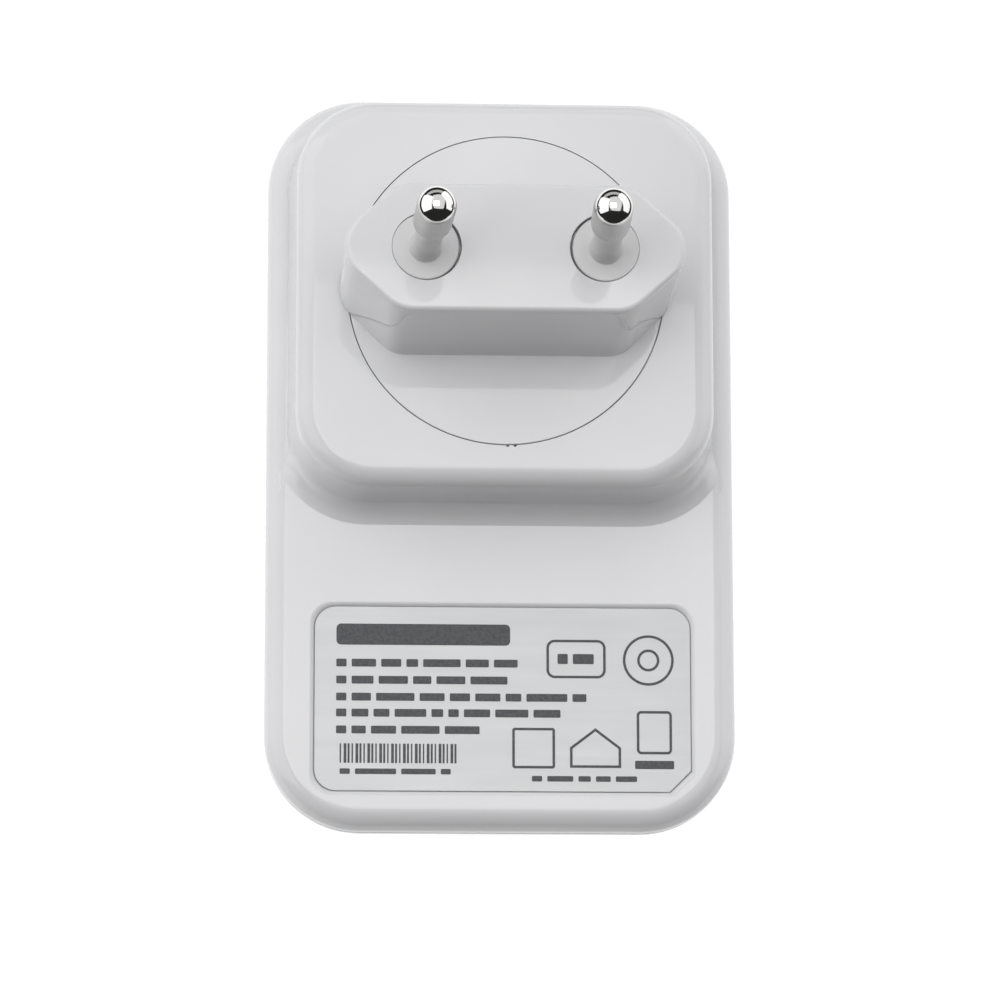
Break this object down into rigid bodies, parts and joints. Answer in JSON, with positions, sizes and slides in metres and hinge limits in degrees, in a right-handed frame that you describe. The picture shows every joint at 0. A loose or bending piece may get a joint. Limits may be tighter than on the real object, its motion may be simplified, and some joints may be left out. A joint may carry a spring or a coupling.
{
  "type": "powerline adapter",
  "caption": "Plug-in mains powerline network adapter: rounded white housing with a raised platform, a flat two-pin Euro plug block, a network socket and a pairing button.",
  "frame": {"origin": "centre of the bounding box at the front face, on which the adapter lies", "axes": "+Z out of the rear along the plug pins, +Y towards the plug end, -Y out of the network socket, +X to the right seen from the rear"},
  "size_m": [0.0508, 0.0808, 0.0674],
  "materials": {
    "white_plastic": "glossy moulded",
    "label": "satin silver film, dark print",
    "nickel": "polished nickel plate",
    "steel": "plain",
    "contact_gold": "gold flash",
    "black_plastic": "moulded, fine texture",
    "circuit_board": "solder mask",
    "clear_plastic": "clear moulded",
    "led": "resin",
    "ferrite": "sintered",
    "copper_winding": "enamelled wire",
    "yellow_film": "film wrap",
    "capacitor_sleeve": "shrink sleeve",
    "blue_epoxy": "dipped epoxy"
  },
  "bodies": {
    "housing": {"front_housing": "white_plastic", "rear_housing": "white_plastic", "plug_insert": "white_plastic", "pin_sleeve_left": "white_plastic", "pin_sleeve_right": "white_plastic", "board_spacer_left": "white_plastic", "board_spacer_right": "white_plastic", "rating_label": "label", "mains_pin_left": "nickel", "mains_pin_right": "nickel", "pin_contact_left": "contact_gold", "pin_contact_right": "contact_gold", "ethernet_contact_1": "contact_gold", "ethernet_contact_2": "contact_gold", "ethernet_contact_3": "contact_gold", "ethernet_contact_4": "contact_gold", "ethernet_contact_5": "contact_gold", "ethernet_contact_6": "contact_gold", "ethernet_contact_7": "contact_gold", "ethernet_contact_8": "contact_gold", "insert_screw_left": "steel", "insert_screw_right": "steel", "board_screw_left": "steel", "board_screw_right": "steel", "clock_crystal": "steel", "main_board": "circuit_board", "power_board": "circuit_board", "board_header": "black_plastic", "ethernet_jack": "black_plastic", "pair_switch": "black_plastic", "reset_switch": "black_plastic", "powerline_processor": "black_plastic", "memory_chip": "black_plastic", "ethernet_transformer": "black_plastic", "thermal_fuse": "black_plastic", "bridge_rectifier": "black_plastic", "power_controller": "black_plastic", "optocoupler": "black_plastic", "light_pipe_power": "clear_plastic", "light_pipe_powerline": "clear_plastic", "light_pipe_ethernet": "clear_plastic", "led_power": "led", "led_powerline": "led", "led_ethernet": "led", "transformer_core": "ferrite", "coupling_transformer": "ferrite", "filter_choke": "ferrite", "transformer_coil": "copper_winding", "line_filter_capacitor": "yellow_film", "coupling_capacitor": "yellow_film", "bulk_capacitor_1": "capacitor_sleeve", "bulk_capacitor_2": "capacitor_sleeve", "output_capacitor": "capacitor_sleeve", "surge_varistor": "blue_epoxy"},
    "pair_button": {"pair_button": "white_plastic", "pair_switch_plunger": "black_plastic"},
    "reset_button": {"reset_plunger": "black_plastic"}
  },
  "joints": [
    {"name": "pair_press", "type": "slide", "parent": "housing", "child": "pair_button", "axis": [-1, 0, 0], "range_m": [0, 0.0005], "stiffness_N_per_m": 800, "springref_m": -0.0005},
    {"name": "reset_press", "type": "slide", "parent": "housing", "child": "reset_button", "axis": [-1, 0, 0], "range_m": [0, 0.0004], "stiffness_N_per_m": 800, "springref_m": -0.0005}
  ]
}
